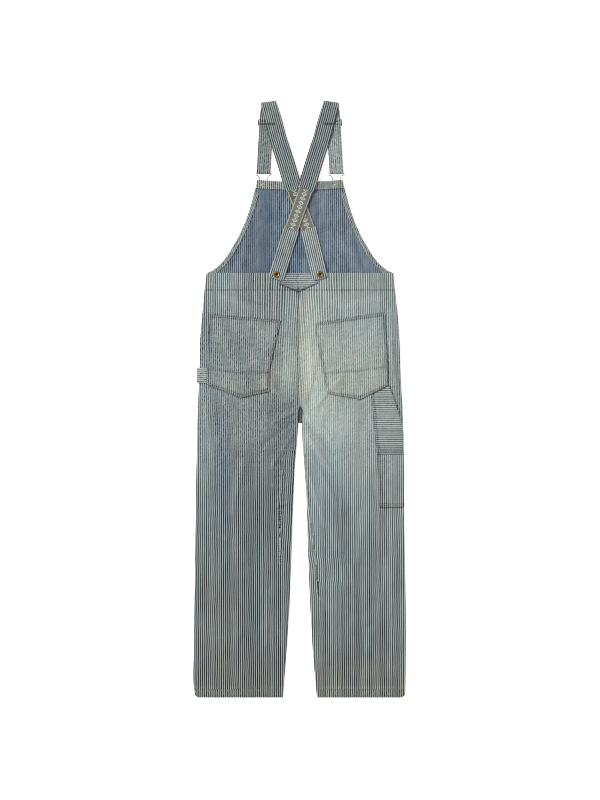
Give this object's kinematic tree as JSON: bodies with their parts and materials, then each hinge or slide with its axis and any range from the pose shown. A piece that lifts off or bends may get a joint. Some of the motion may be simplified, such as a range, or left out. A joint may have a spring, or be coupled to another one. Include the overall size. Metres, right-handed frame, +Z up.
{
  "type": "dungarees",
  "caption": "Faded striped cotton bib dungarees laid flat on their front, back upwards, with crossed elastic-backed shoulder straps, wire clasps and patch pockets.",
  "frame": {"origin": "middle of the underside of the laid garment, on the surface it lies on", "axes": "+X to the wearer's right, +Y from the hems towards the shoulders, +Z up from the surface, out of the garment's back"},
  "size_m": [0.5516, 1.552, 0.0105],
  "materials": {
    "denim_faded": "washed and faded striped cotton twill, matt",
    "denim_inside": "inside face of striped cotton twill, bluer and softer in contrast",
    "denim_trim": "two-ply striped cotton twill, pressed and stitched",
    "elastic_web": "woven elastic webbing with a small geometric motif",
    "brass": "plain tack buttons, lightly tarnished",
    "steel": "bright nickel-plated wire",
    "dark_steel": "darkened stamped steel"
  },
  "bodies": {
    "root": {"front_left": "denim_faded", "front_right": "denim_faded", "back_left": "denim_faded", "back_right": "denim_faded", "bib": "denim_inside", "bib_top_hem": "denim_trim", "bib_side_hem_left": "denim_trim", "bib_side_hem_right": "denim_trim", "waist_insert": "denim_faded", "back_pocket_left": "denim_faded", "back_pocket_right": "denim_faded", "tool_pocket_upper": "denim_faded", "tool_pocket_lower": "denim_faded", "hammer_loop": "denim_faded", "hem_left": "denim_faded", "hem_right": "denim_faded", "strap_left": "denim_trim", "strap_right": "denim_trim", "strap_end_left": "denim_trim", "strap_end_right": "denim_trim", "elastic_left": "elastic_web", "elastic_right": "elastic_web", "bib_button_left": "brass", "bib_button_right": "brass", "bib_tack_left": "brass", "bib_tack_right": "brass", "back_button_left": "brass", "back_button_right": "brass", "clasp_left": "steel", "clasp_right": "steel", "slide_left": "dark_steel", "slide_right": "dark_steel"}
  },
  "joints": []
}
